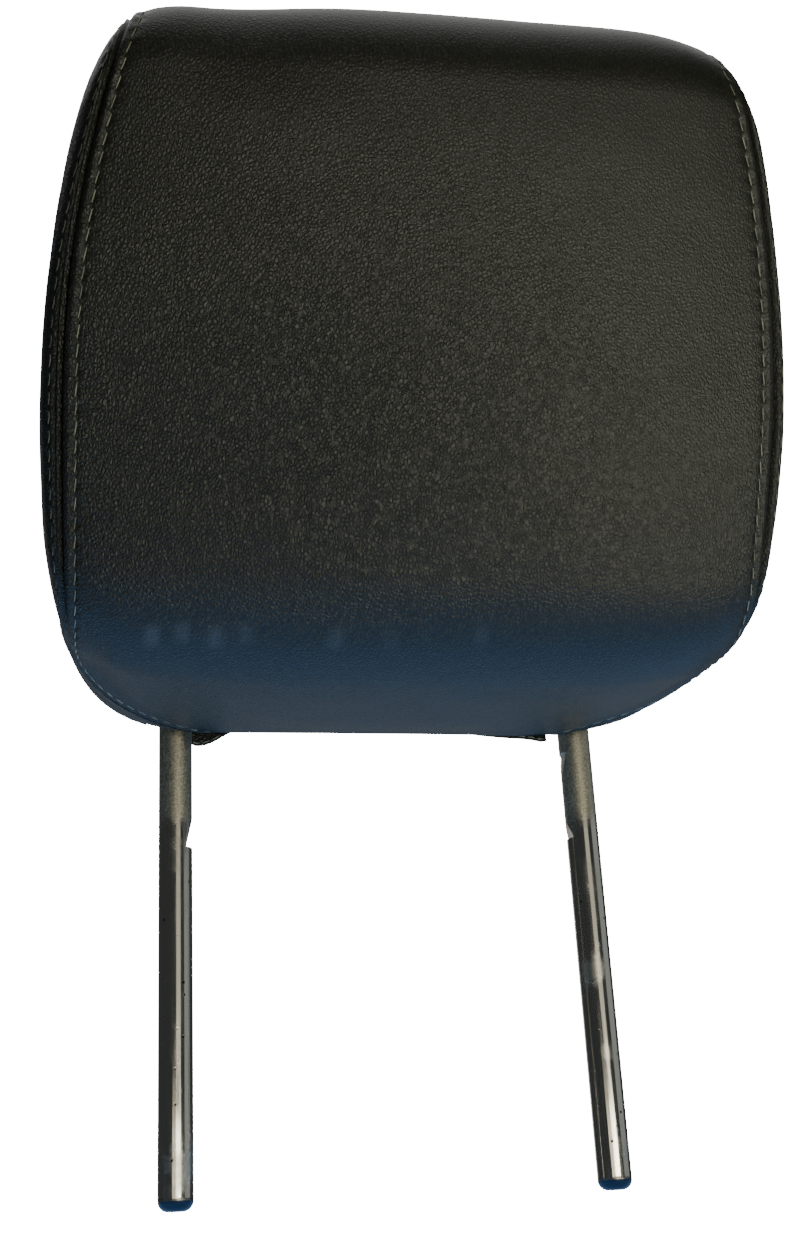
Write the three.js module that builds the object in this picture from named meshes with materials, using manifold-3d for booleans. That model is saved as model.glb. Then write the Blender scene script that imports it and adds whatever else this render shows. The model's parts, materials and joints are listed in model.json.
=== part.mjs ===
// Padded head restraint: a leather-covered cushion that tilts on the crossbar of a bent steel stay.
// Millimetres. +Z runs up the two posts, +X across the cushion, and the padded face looks along -Y.
// The origin lies midway between the two post ends.
import * as THREE from 'three';
import { mergeVertices } from 'three/addons/utils/BufferGeometryUtils.js';
import Module from 'manifold-3d';

// ---------- driving dimensions ----------
const LEAN = THREE.MathUtils.degToRad(26.5); // forward lean of the cushion against the posts, at rest
const PIVOT_Z = 200; // height of the crossbar, which is the tilt axis
const GAP = 0.3; // clearance between neighbouring pieces

const ROD_R = 6;
const POST_X = 75.5; // half the distance between the post centres
const BEND_R = 20; // centreline radius of the stay's two upper corners
const TIP_R = 3.5; // rounding of the post ends
const ROD_SIDES = 24;

const BUSH_X = 40;
const BUSH_LENGTH = 20;
const BUSH_WALL = 2.6;
const SHEET = 2; // bracket and clamp sheet thickness
const FLANGE_REACH = 19.8; // clamp flanges end this far above and below the crossbar
const PLATE_TOP = 118;
const PLATE_HALF = 60;
const CLAMP_SCREW_Z = 15.9;
const CLAMP_HOLE_R = 2.3; // holes for the clamp screws, in the bracket, caps and nuts
const CORE_HOLE_R = 2.4; // bracket holes for the core screws
const LIGHTENING_R = 8; // lightening holes of the bracket plate
const LIGHTENING_Z = 72;
const LIGHTENING_PITCH = 24;

const CORE_HALF = 85;
const CORE_WALL = 2.5;
const CORE_SPLIT = -16; // plane where the front and rear core shells meet
const CORE_SCREW_X = 48;
const CORE_SCREW_Z = [52, 104];

const COVER = 1.6; // leather thickness
const HALF_WIDTH = 122; // widest half of the cushion
const WIDEST_Z = 78; // height of the widest place above the crossbar
const NARROWING = [0.00077, 0.00104]; // loss of half width per mm squared below and above the widest place
const SEAM_SHARE = 0.89; // where the centre panel ends, as a share of the half width
const SEAM_END_SHARE = 0.48; // the same at the front hem, between the posts
const OPENING_HALF = 90; // half length of the opening in the underside
const SLOT_HALF = 8; // half width of each post slot

// Corners of the cushion's side profile, in its own leaning frame about the crossbar: [y, z, radius].
const PROFILE = [
  [-20, -32.3, 38], // lowest ridge, just ahead of the posts
  [-106, 6.5, 43], // face turns under
  [-106, 209, 25.5], // face turns over the top
  [7, 227, 50],
  [31, -28, 20],
];
const PROFILE_CENTRE = [-42, 95];
const FRONT_HEM_Y = -25;
const REAR_HEM_Y = 9;
const LOOP_COUNT = 64;
const CENTRE_COLUMNS = 6;
const SIDE_COLUMNS = 4;

// ---------- materials ----------
const finish = (color, roughness, metalness) => (
  new THREE.MeshStandardMaterial({ color, roughness, metalness })
);
const chrome = finish(0xb9bcc0, 0.12, 1);
const zincSteel = finish(0x8f9296, 0.4, 1);
const blackSteel = finish(0x2b2d2f, 0.5, 0.8);
const resin = finish(0xd8d5c8, 0.5, 0);
const corePlastic = finish(0x1f2123, 0.6, 0);
const foam = finish(0x6c6a60, 0.95, 0);
const leather = finish(0x1d1f1a, 0.5, 0);
const stripPlastic = finish(0x2f3136, 0.5, 0);

// ---------- geometry helpers ----------
const wasm = await Module();
wasm.setup();

function toSolid(geometry) {
  const bare = geometry.clone();
  bare.deleteAttribute('normal');
  bare.deleteAttribute('uv');
  const merged = mergeVertices(bare, 1e-4);
  return new wasm.Manifold(new wasm.Mesh({
    numProp: 3,
    vertProperties: new Float32Array(merged.attributes.position.array),
    triVerts: new Uint32Array(merged.index.array),
  }));
}

function toGeometry(solid) {
  const mesh = solid.getMesh();
  const geometry = new THREE.BufferGeometry();
  geometry.setAttribute('position', new THREE.BufferAttribute(new Float32Array(mesh.vertProperties), 3));
  geometry.setIndex(new THREE.BufferAttribute(new Uint32Array(mesh.triVerts), 1));
  return geometry;
}

const cut = (geometry, ...tools) => (
  toGeometry(tools.reduce((s, t) => s.subtract(toSolid(t)), toSolid(geometry)))
);
const join = (geometry, ...others) => (
  toGeometry(others.reduce((s, o) => s.add(toSolid(o)), toSolid(geometry)))
);

function box(low, high) {
  const [dx, dy, dz] = high.map((h, i) => h - low[i]);
  return new THREE.BoxGeometry(dx, dy, dz).translate(...low.map((l, i) => (l + high[i]) / 2));
}

// A cylinder along Y from y0 to y1.
function barY(radius, y0, y1, x, z, sides = 20) {
  return new THREE.CylinderGeometry(radius, radius, y1 - y0, sides).translate(x, (y0 + y1) / 2, z);
}

// A (y, z) outline extruded along X between x0 and x1.
function extrudeX(shape, x0, x1, curveSegments = 10) {
  const solid = new THREE.ExtrudeGeometry(shape, { depth: x1 - x0, bevelEnabled: false, curveSegments });
  const turn = new THREE.Matrix4().set(0, 0, 1, x0, 1, 0, 0, 0, 0, 1, 0, 0, 0, 0, 0, 1);
  return solid.applyMatrix4(turn);
}

const polygon = (points) => new THREE.Shape(points.map(([a, b]) => new THREE.Vector2(a, b)));

// Joins rings of equal point count into a skin; pole points close the ends.
function loft(rings, startPole, endPole) {
  const count = rings[0].length;
  const position = [...rings.flat(), startPole, endPole].flatMap((p) => [p.x, p.y, p.z]);
  const index = [];
  const start = rings.length * count;
  const end = start + 1;
  const last = (rings.length - 1) * count;
  for (let j = 0; j < count; j++) {
    const k = (j + 1) % count;
    for (let i = 0; i < rings.length - 1; i++) {
      const [a, b, c, d] = [i * count + j, i * count + k, (i + 1) * count + k, (i + 1) * count + j];
      index.push(a, b, c, a, c, d);
    }
    index.push(start, k, j, end, last + j, last + k);
  }
  return faceOut(position, index);
}

// Closes an outer and an inner sheet of the same grid into one solid skin. Rows may wrap round, and a last
// column that is one shared pole point has no rim. mirror splits each quad along its other diagonal.
function skin(outer, inner, wrap = false, mirror = false) {
  const rows = outer.length;
  const columns = outer[0].length;
  const position = [...outer.flat(), ...inner.flat()].flatMap((p) => [p.x, p.y, p.z]);
  const index = [];
  const at = (i, j, side) => side * rows * columns + (i % rows) * columns + j;
  const quad = (a, b, c, d) => index.push(...(mirror ? [a, b, d, b, c, d] : [a, b, c, a, c, d]));
  const rowSteps = wrap ? rows : rows - 1;
  const pole = outer[0].at(-1).distanceTo(outer[1].at(-1)) < 1e-6;
  for (let i = 0; i < rowSteps; i++) {
    for (let j = 0; j < columns - 1; j++) {
      quad(at(i, j, 0), at(i + 1, j, 0), at(i + 1, j + 1, 0), at(i, j + 1, 0));
      quad(at(i, j, 1), at(i, j + 1, 1), at(i + 1, j + 1, 1), at(i + 1, j, 1));
    }
    quad(at(i, 0, 0), at(i, 0, 1), at(i + 1, 0, 1), at(i + 1, 0, 0));
    const j = columns - 1;
    if (!pole) quad(at(i, j, 0), at(i + 1, j, 0), at(i + 1, j, 1), at(i, j, 1));
  }
  if (!wrap) {
    const i = rows - 1;
    for (let j = 0; j < columns - 1; j++) {
      quad(at(0, j, 0), at(0, j + 1, 0), at(0, j + 1, 1), at(0, j, 1));
      quad(at(i, j, 0), at(i, j, 1), at(i, j + 1, 1), at(i, j + 1, 0));
    }
  }
  return faceOut(position, index);
}

// A geometry from raw triangles, turned so that its faces point out.
function faceOut(position, index) {
  let volume = 0;
  for (let t = 0; t < index.length; t += 3) {
    const [a, b, c] = [0, 1, 2].map((k) => new THREE.Vector3().fromArray(position, index[t + k] * 3));
    volume += a.dot(b.cross(c));
  }
  if (volume < 0) index.reverse();
  const geometry = new THREE.BufferGeometry();
  geometry.setAttribute('position', new THREE.Float32BufferAttribute(position, 3));
  geometry.setIndex(index);
  const merged = mergeVertices(geometry, 1e-4);
  const corners = Array.from(merged.index.array);
  const kept = [];
  for (let t = 0; t < corners.length; t += 3) {
    const [a, b, c] = corners.slice(t, t + 3);
    if (a !== b && b !== c && c !== a) kept.push(a, b, c);
  }
  merged.setIndex(kept);
  return merged;
}

function mesh(name, geometry, material) {
  const made = new THREE.Mesh(geometry, material);
  made.name = name;
  return made;
}

// ---------- the stay ----------
function circleAt(centre, across, radius) {
  const side = new THREE.Vector3(0, 1, 0);
  return Array.from({ length: ROD_SIDES }, (_, k) => {
    const a = (2 * Math.PI * k) / ROD_SIDES;
    const point = centre.clone().addScaledVector(across, radius * Math.cos(a));
    return point.addScaledVector(side, radius * Math.sin(a));
  });
}

// One solid rod: up the left post, round the corner, along the crossbar and down the right post.
function stayRod() {
  const TIP_STEPS = 3;
  const BEND_STEPS = 7;
  const rings = [];
  const right = new THREE.Vector3(1, 0, 0);
  for (let k = 0; k <= TIP_STEPS; k++) {
    const a = (Math.PI / 2) * (k / TIP_STEPS);
    const height = TIP_R * (1 - Math.cos(a));
    rings.push(circleAt(new THREE.Vector3(-POST_X, 0, height), right, ROD_R - TIP_R * (1 - Math.sin(a))));
  }
  for (let k = 0; k <= BEND_STEPS; k++) {
    const a = (Math.PI / 2) * (k / BEND_STEPS);
    const x = -POST_X + BEND_R * (1 - Math.cos(a));
    const z = PIVOT_Z - BEND_R * (1 - Math.sin(a));
    rings.push(circleAt(new THREE.Vector3(x, 0, z), new THREE.Vector3(Math.cos(a), 0, -Math.sin(a)), ROD_R));
  }
  const mirrored = rings.map((ring) => ring.map((p) => new THREE.Vector3(-p.x, p.y, p.z))).reverse();
  const tips = [-POST_X, POST_X].map((x) => new THREE.Vector3(x, 0, 0));
  const rod = loft([...rings, ...mirrored], ...tips);
  // Detent notches on the inner sides: [post side, ledge height, taper end height, depth].
  const NOTCHES = [
    [-1, 122, 133, 2.3],
    [1, 124, 130, 1.4],
    [1, 157, 148, 1.6],
  ];
  const cutters = NOTCHES.map(([side, ledge, taper, depth]) => {
    const face = POST_X - ROD_R;
    const flat = ledge + Math.sign(taper - ledge);
    const outline = polygon([
      [side * (face - 1), ledge],
      [side * (face + depth), ledge],
      [side * (face + depth), flat],
      [side * face, taper],
      [side * (face - 1), taper],
    ]);
    const prism = new THREE.ExtrudeGeometry(outline, { depth: 2 * ROD_R + 2, bevelEnabled: false });
    return prism.rotateX(Math.PI / 2).translate(0, ROD_R + 1, 0);
  });
  return cut(rod, ...cutters);
}

// Tab welded on the crossbar, which meets the bracket plate at the end of the tilt.
function stopLug() {
  const REACH = 16;
  const THICK = 3;
  const HALF_LENGTH = 7;
  const ANGLE = THREE.MathUtils.degToRad(-24); // from straight up, towards the rear
  const tab = box([-HALF_LENGTH, -THICK / 2, 0], [HALF_LENGTH, THICK / 2, REACH]).rotateX(ANGLE);
  const rod = new THREE.CylinderGeometry(ROD_R + GAP, ROD_R + GAP, 4 * HALF_LENGTH, ROD_SIDES);
  return cut(tab, rod.rotateZ(Math.PI / 2));
}

// ---------- tilt mechanism, about the crossbar at the local origin ----------
const BUSH_IN = ROD_R + GAP;
const BUSH_OUT = BUSH_IN + BUSH_WALL;
const SADDLE_IN = BUSH_OUT + GAP;
const SADDLE_OUT = SADDLE_IN + SHEET;

// Split ring of resin that grips the rod.
function bush(x) {
  const HALF_SLIT = 0.12; // radians
  const shape = new THREE.Shape();
  shape.absarc(0, 0, BUSH_OUT, HALF_SLIT, 2 * Math.PI - HALF_SLIT, false);
  shape.absarc(0, 0, BUSH_IN, 2 * Math.PI - HALF_SLIT, HALF_SLIT, true);
  return extrudeX(shape, x - BUSH_LENGTH / 2, x + BUSH_LENGTH / 2, 20);
}

// Half saddle round a bush with a flat flange above and below; side is -1 in front, 1 behind.
function saddle(side, x) {
  const shape = new THREE.Shape();
  const face = side * (GAP / 2);
  const back = side * (GAP / 2 + SHEET);
  const inner = Math.acos(GAP / 2 / SADDLE_IN);
  const outer = Math.acos((GAP / 2 + SHEET) / SADDLE_OUT);
  const middle = side > 0 ? 0 : Math.PI;
  shape.moveTo(face, FLANGE_REACH);
  shape.absarc(0, 0, SADDLE_IN, middle + side * inner, middle - side * inner, side > 0);
  shape.lineTo(face, -FLANGE_REACH);
  shape.lineTo(back, -FLANGE_REACH);
  shape.absarc(0, 0, SADDLE_OUT, middle - side * outer, middle + side * outer, side < 0);
  shape.lineTo(back, FLANGE_REACH);
  return extrudeX(shape, x - BUSH_LENGTH / 2, x + BUSH_LENGTH / 2);
}

const clampPlaces = [-BUSH_X, BUSH_X].flatMap((x) => [CLAMP_SCREW_Z, -CLAMP_SCREW_Z].map((z) => [x, z]));
const corePlaces = [-CORE_SCREW_X, CORE_SCREW_X].flatMap((x) => CORE_SCREW_Z.map((z) => [x, z]));

// Pressed sheet plate with both front saddles, screw holes and three lightening holes.
function tiltBracket() {
  const back = -GAP / 2 - SHEET;
  const plate = box([-PLATE_HALF, back, FLANGE_REACH - 8], [PLATE_HALF, -GAP / 2, PLATE_TOP]);
  const holes = [
    ...clampPlaces.map(([x, z]) => barY(CLAMP_HOLE_R, back - 1, 1, x, z)),
    ...corePlaces.map(([x, z]) => barY(CORE_HOLE_R, back - 1, 1, x, z)),
    ...[-1, 0, 1].map((i) => barY(LIGHTENING_R, back - 1, 1, i * LIGHTENING_PITCH, LIGHTENING_Z, 24)),
  ];
  return cut(join(plate, saddle(-1, -BUSH_X), saddle(-1, BUSH_X)), ...holes);
}

function clampCap(x) {
  const ownScrews = clampPlaces.filter((place) => place[0] === x);
  return cut(saddle(1, x), ...ownScrews.map(([px, z]) => barY(CLAMP_HOLE_R, -1, 4, px, z)));
}

// Socket screw along Y with its head on the rear side; headY is the underside of the head.
function screw(headY, endY, shankR, headR, headHeight, x, z) {
  const SOCKET_SHARE = 0.5;
  const head = barY(headR, headY, headY + headHeight, x, z, 18);
  const shank = barY(shankR, endY, headY + headHeight / 2, x, z, 12);
  const socket = barY(headR * SOCKET_SHARE, headY + headHeight * 0.4, headY + headHeight + 1, x, z, 6);
  return cut(join(head, shank), socket);
}

function nut(x, z) {
  const NUT_HEIGHT = 3.2;
  const NUT_R = 3.9;
  const front = -GAP / 2 - SHEET - GAP;
  const hexagon = barY(NUT_R, front - NUT_HEIGHT, front, x, z, 6);
  return cut(hexagon, barY(CLAMP_HOLE_R, front - NUT_HEIGHT - 1, front + 1, x, z, 12));
}

// ---------- core shells ----------
const CORE_FRONT = -46;
const CORE_BOTTOM = -22.6;
const CORE_TOP = 150;
const REAR_TOP_Y = 4;
const REAR_KNEE_Y = 8;
const REAR_KNEE_Z = 44;
const CORE_OUTLINE = [
  [-27, CORE_BOTTOM],
  [CORE_FRONT, 6],
  [CORE_FRONT, CORE_TOP],
  [REAR_TOP_Y, CORE_TOP],
  [REAR_KNEE_Y, REAR_KNEE_Z],
  [16, 27],
  [16, -8],
  [8, CORE_BOTTOM],
];
const BOSS_R = 5;

// Moves every corner of the outline inwards by a wall thickness.
function shrinkOutline(points, inset) {
  const count = points.length;
  return points.map((p, i) => {
    const before = points[(i + count - 1) % count];
    const after = points[(i + 1) % count];
    const d1 = new THREE.Vector2(p[0] - before[0], p[1] - before[1]).normalize();
    const d2 = new THREE.Vector2(after[0] - p[0], after[1] - p[1]).normalize();
    const n1 = new THREE.Vector2(d1.y, -d1.x);
    const n2 = new THREE.Vector2(d2.y, -d2.x);
    const bisector = n1.clone().add(n2).multiplyScalar(inset / (1 + n1.dot(n2)));
    return [p[0] + bisector.x, p[1] + bisector.y];
  });
}

// Slot that a post sweeps through as the cushion tilts, as a box through the underside.
// It reaches further inwards, where the rod already bends towards the crossbar.
const BEND_ROOM = 4;
const postSlot = (side, half, low, high) => box(
  [side * POST_X - half - (side > 0 ? BEND_ROOM : 0), low[0], low[1]],
  [side * POST_X + half + (side < 0 ? BEND_ROOM : 0), high[0], high[1]],
);

function coreShell(front) {
  const FAR = 300;
  const outside = extrudeX(polygon(CORE_OUTLINE), -CORE_HALF, CORE_HALF);
  const inside = extrudeX(
    polygon(shrinkOutline(CORE_OUTLINE, CORE_WALL)),
    -CORE_HALF + CORE_WALL,
    CORE_HALF - CORE_WALL,
  );
  const split = CORE_SPLIT + (front ? -GAP / 2 : GAP / 2);
  const away = front
    ? box([-FAR, split, -FAR], [FAR, FAR, FAR])
    : box([-FAR, -FAR, -FAR], [FAR, split, FAR]);
  const slots = [-1, 1].map((side) => postSlot(side, SLOT_HALF, [-19, -FAR], [9, 0]));
  const shell = cut(outside, inside, away, ...slots);
  if (front) {
    const bosses = corePlaces.map(([x, z]) => barY(BOSS_R, CORE_FRONT + 1, -GAP / 2 - SHEET - GAP, x, z));
    const bores = corePlaces.map(([x, z]) => barY(2.2, CORE_FRONT + 8, 5, x, z, 12));
    return cut(join(shell, ...bosses), ...bores);
  }
  return cut(shell, ...corePlaces.map(([x, z]) => barY(2.3, -10, 20, x, z, 12)));
}

// Plane of the rear shell's slanted outside, where the core screws' heads sit.
const rearFaceY = (z) => THREE.MathUtils.mapLinear(z, CORE_TOP, REAR_KNEE_Z, REAR_TOP_Y, REAR_KNEE_Y);

// ---------- cushion surface ----------
// The side profile as a loop of points: straight sides with an arc at each corner, from the front hem on.
function profileLoop(count) {
  const path = new THREE.Path();
  PROFILE.forEach(([y, z, radius], i) => {
    const corner = new THREE.Vector2(y, z);
    const before = new THREE.Vector2(...PROFILE[(i + PROFILE.length - 1) % PROFILE.length]);
    const after = new THREE.Vector2(...PROFILE[(i + 1) % PROFILE.length]);
    const d1 = before.sub(corner).normalize();
    const d2 = after.sub(corner).normalize();
    const half = Math.acos(d1.dot(d2)) / 2;
    const reach = radius / Math.tan(half);
    const from = corner.clone().addScaledVector(d1, reach);
    const to = corner.clone().addScaledVector(d2, reach);
    const centre = corner.clone().addScaledVector(d1.add(d2).normalize(), radius / Math.sin(half));
    const [a, b] = [from, to].map((p) => Math.atan2(p.y - centre.y, p.x - centre.x));
    if (i === 0) path.moveTo(from.x, from.y);
    path.absarc(centre.x, centre.y, radius, a, b, true);
  });
  path.closePath();
  return path.getSpacedPoints(count).slice(0, count);
}

const smooth = (a, b, v) => THREE.MathUtils.smoothstep(v, a, b);
const halfWidth = (z) => HALF_WIDTH - NARROWING[z > WIDEST_Z ? 1 : 0] * (z - WIDEST_Z) ** 2;

// Superellipse exponent of the section across the width, largest at the widest place.
function squareness(z) {
  const AT_BOTTOM = [6, -35]; // exponent, height
  const AT_TOP = [8, 225];
  const to = 12.8;
  const [from, toZ] = z < WIDEST_Z ? AT_BOTTOM : AT_TOP;
  return THREE.MathUtils.lerp(to, from, THREE.MathUtils.clamp((WIDEST_Z - z) / (WIDEST_Z - toZ), 0, 1));
}

// A point of the cushion's outside: the profile point drawn towards the profile's centre by rise, at a share
// of the half width there, and moved in by inset.
function skinPoint(p, side, share, rise, inset) {
  const dy = p.x - PROFILE_CENTRE[0];
  const dz = p.y - PROFILE_CENTRE[1];
  const scale = rise * (1 - inset / Math.hypot(dy, dz));
  const x = side * share * (halfWidth(PROFILE_CENTRE[1] + dz * rise) - inset);
  return new THREE.Vector3(x, PROFILE_CENTRE[0] + dy * scale, PROFILE_CENTRE[1] + dz * scale);
}

// Across the width the section is a superellipse, here by its share of the half width...
function facePoint(p, side, share, inset) {
  const n = squareness(p.y);
  return skinPoint(p, side, share, (1 - share ** n) ** (1 / n), inset);
}

// ...and here by angle: 0 in the middle of the width, PI/2 at the middle of the side.
function sidePoint(p, side, angle, inset) {
  const n = squareness(p.y);
  return skinPoint(p, side, Math.sin(angle) ** (2 / n), Math.cos(angle) ** (2 / n), inset);
}

// Share of the half width at which the centre panel meets the side panels. It narrows towards both hems.
function seamShare(p) {
  let inward = 0;
  if (p.y < 25 && p.x < FRONT_HEM_Y) inward = smooth(-72, FRONT_HEM_Y, p.x);
  if (p.y < 60 && p.x >= FRONT_HEM_Y) inward = 1 - smooth(-25, 45, p.y);
  return THREE.MathUtils.lerp(SEAM_SHARE, SEAM_END_SHARE, inward);
}

// The centre panel's points across the width, from the left seam to the right seam.
function centreRow(p, inset) {
  const edge = seamShare(p) - (0.5 * GAP) / halfWidth(p.y);
  return Array.from({ length: CENTRE_COLUMNS + 1 }, (_, j) => {
    const share = edge * (2 * (j / CENTRE_COLUMNS) - 1);
    return facePoint(p, Math.sign(share), Math.abs(share), inset);
  });
}

// A side panel's points, from the seam out over the edge to near the middle of the side.
function sideRow(p, side, inset) {
  const from = Math.asin((seamShare(p) + (0.5 * GAP) / halfWidth(p.y)) ** (squareness(p.y) / 2));
  const to = (Math.PI / 2) * 0.985;
  return Array.from({ length: SIDE_COLUMNS + 1 }, (_, j) => {
    const t = 1 - (1 - j / SIDE_COLUMNS) ** 1.1;
    return sidePoint(p, side, THREE.MathUtils.lerp(from, to, t), inset);
  });
}

const fullRow = (p, inset) => [
  ...sideRow(p, -1, inset).reverse(),
  ...centreRow(p, inset).slice(1, -1),
  ...sideRow(p, 1, inset),
];

const sidePole = (side, inset) => new THREE.Vector3(
  side * (halfWidth(PROFILE_CENTRE[1]) - inset),
  ...PROFILE_CENTRE,
);
const loop = profileLoop(LOOP_COUNT);

// Plastic edge strips sewn inside the two hems: centre of each strip's section, [y, z].
const STRIPS = [
  [-21.4, -26.6],
  [5.2, -26.9],
];
const STRIP_HALF = 54;
const stripBox = (y, z, grow, below = 0) => box(
  [-STRIP_HALF - grow, y - 3 - grow, z - 1.2 - grow - below],
  [STRIP_HALF + grow, y + 3 + grow, z + 1.2 + grow],
);

function foamPad() {
  const inset = COVER + GAP;
  const rows = loop.map((p) => fullRow(p, inset));
  const rings = rows[0].map((_, j) => rows.map((row) => row[j]));
  const pad = loft(rings, sidePole(-1, inset), sidePole(1, inset));
  const cavity = extrudeX(polygon(shrinkOutline(CORE_OUTLINE, -GAP)), -CORE_HALF - GAP, CORE_HALF + GAP);
  const screwHeads = corePlaces.map(([x, z]) => barY(4.6, 0, rearFaceY(z) + 3.6, x, z, 12));
  const slotEnds = [[FRONT_HEM_Y, -60], [REAR_HEM_Y, CORE_BOTTOM + 1]];
  const slots = [-1, 1].map((side) => postSlot(side, SLOT_HALF + 1, ...slotEnds));
  const strips = STRIPS.map(([y, z]) => stripBox(y, z, GAP, 5));
  return cut(pad, cavity, ...screwHeads, ...slots, ...strips);
}

// ---------- leather cover ----------
// The strip that runs from the front hem up the face, over the top and down the back.
function centrePanel() {
  const sheet = (inset) => loop.map((p) => centreRow(p, inset));
  return cut(skin(sheet(0), sheet(COVER), true), openingBox(0));
}

// One side gusset, whose inmost ring closes on a pole on both faces.
function sidePanel(side) {
  const sheet = (inset) => loop.map((p) => [...sideRow(p, side, inset), sidePole(side, inset)]);
  return cut(skin(sheet(0), sheet(COVER), true, side < 0), openingBox(0));
}

const openingBox = (grow) => box(
  [-OPENING_HALF - grow, FRONT_HEM_Y - grow, -60],
  [OPENING_HALF + grow, REAR_HEM_Y + grow, -5],
);

// Flap that closes the underside between the hems, slotted for the posts.
function closureFlap() {
  const near = (p) => p.y < 0 && p.x > FRONT_HEM_Y - 30 && p.x < REAR_HEM_Y + 24;
  const first = loop.findIndex((p, i) => near(p) && !near(loop.at(i - 1)));
  const rows = loop.map((_, i) => loop[(first + i) % LOOP_COUNT]).filter(near);
  const sheet = (inset) => rows.map((p) => fullRow(p, inset));
  const strip = toSolid(skin(sheet(0), sheet(COVER))).intersect(toSolid(openingBox(-GAP)));
  const slots = [-1, 1].map((side) => postSlot(side, SLOT_HALF, [FRONT_HEM_Y - 1, -60], [3, 0]));
  return toGeometry(slots.reduce((solid, slot) => solid.subtract(toSolid(slot)), strip));
}

// A flat strip with a hooked edge.
function edgeStrip(y, z, hookSide) {
  const body = stripBox(y, z, 0);
  const grooveY = y + hookSide;
  const groove = box(
    [-STRIP_HALF - 1, grooveY - 0.8, z - 2],
    [STRIP_HALF + 1, grooveY + 0.8, z + 0.2],
  );
  return cut(body, groove);
}

// ---------- assembly ----------
const part = new THREE.Group();
const stay = new THREE.Group();
const cushion = new THREE.Group();
part.add(stay, cushion);
stay.add(mesh('stay_rod', stayRod(), chrome));
const crossbarFrame = new THREE.Group();
for (const group of [cushion, crossbarFrame]) {
  group.position.set(0, 0, PIVOT_Z);
  group.rotation.x = LEAN;
}
stay.add(crossbarFrame);
crossbarFrame.add(mesh('stop_lug', stopLug(), zincSteel));

const SIDES = [['left', -1], ['right', 1]];
for (const [name, side] of SIDES) {
  cushion.add(mesh(`friction_bush_${name}`, bush(side * BUSH_X), resin));
  cushion.add(mesh(`clamp_cap_${name}`, clampCap(side * BUSH_X), zincSteel));
  cushion.add(mesh(`cover_side_${name}`, sidePanel(side), leather));
}
cushion.add(mesh('tilt_bracket', tiltBracket(), zincSteel));
clampPlaces.forEach(([x, z], i) => {
  const seat = GAP / 2 + SHEET + GAP;
  cushion.add(mesh(`clamp_screw_${i + 1}`, screw(seat, -7.5, 1.95, 3.6, 3, x, z), blackSteel));
  cushion.add(mesh(`clamp_nut_${i + 1}`, nut(x, z), zincSteel));
});
corePlaces.forEach(([x, z], i) => {
  cushion.add(mesh(`core_screw_${i + 1}`, screw(rearFaceY(z) + 0.6, -26, 1.9, 4, 2.4, x, z), blackSteel));
});
cushion.add(mesh('core_shell_front', coreShell(true), corePlastic));
cushion.add(mesh('core_shell_rear', coreShell(false), corePlastic));
cushion.add(mesh('foam_pad', foamPad(), foam));
cushion.add(mesh('cover_centre_panel', centrePanel(), leather));
cushion.add(mesh('closure_flap', closureFlap(), leather));
cushion.add(mesh('edge_strip_front', edgeStrip(...STRIPS[0], 1), stripPlastic));
cushion.add(mesh('edge_strip_rear', edgeStrip(...STRIPS[1], -1), stripPlastic));

export default part;
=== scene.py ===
"""Leather head restraint on a notched steel stay: the looks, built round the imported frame.

Lengths in the making functions are millimetres in the cushion's own leaning frame: x across,
y towards the rear, z up the cushion, about the crossbar. place() turns them into the frame's metres.
The stay and the flap's lips are made in upright millimetres about the part's origin instead.
"""
import json
import math

import bpy
import numpy as np
from mathutils import Euler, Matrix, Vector, noise

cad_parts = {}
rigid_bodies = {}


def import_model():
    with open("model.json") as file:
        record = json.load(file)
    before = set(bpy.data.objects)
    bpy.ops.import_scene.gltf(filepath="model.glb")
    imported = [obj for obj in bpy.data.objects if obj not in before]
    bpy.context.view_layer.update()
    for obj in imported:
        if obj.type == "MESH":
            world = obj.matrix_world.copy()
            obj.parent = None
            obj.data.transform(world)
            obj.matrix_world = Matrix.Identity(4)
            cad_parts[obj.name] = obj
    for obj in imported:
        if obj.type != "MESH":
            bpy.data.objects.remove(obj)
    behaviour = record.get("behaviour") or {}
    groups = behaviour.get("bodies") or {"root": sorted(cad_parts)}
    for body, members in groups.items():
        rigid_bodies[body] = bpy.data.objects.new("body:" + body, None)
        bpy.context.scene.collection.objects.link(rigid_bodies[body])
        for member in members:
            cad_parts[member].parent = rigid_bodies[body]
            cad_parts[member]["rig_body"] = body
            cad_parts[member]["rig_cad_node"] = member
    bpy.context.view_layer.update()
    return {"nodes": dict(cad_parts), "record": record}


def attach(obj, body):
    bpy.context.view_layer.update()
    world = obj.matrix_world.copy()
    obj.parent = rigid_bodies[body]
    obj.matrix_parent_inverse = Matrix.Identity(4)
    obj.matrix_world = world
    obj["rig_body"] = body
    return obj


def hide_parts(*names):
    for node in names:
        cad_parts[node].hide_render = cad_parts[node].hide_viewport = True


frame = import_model()

MM = 0.001

# ---------- driving dimensions, the same as the CAD model's ----------
LEAN = math.radians(26.5)
PIVOT_Z = 200.0
ROD_R = 6.0
POST_X = 75.5
BEND_R = 20.0
TIP_R = 3.5
COVER = 1.6
HALF_WIDTH = 122.0
WIDEST_Z = 78.0
NARROWING = (0.00077, 0.00104)  # loss of half width per mm squared, below and above the widest place
PROFILE = [(-20, -32.3, 38), (-106, 6.5, 43), (-106, 209, 25.5), (7, 227, 50), (31, -28, 20)]
PROFILE_CENTRE = (-42.0, 95.0)
FRONT_HEM_Y = -25.0
REAR_HEM_Y = 9.0

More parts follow.
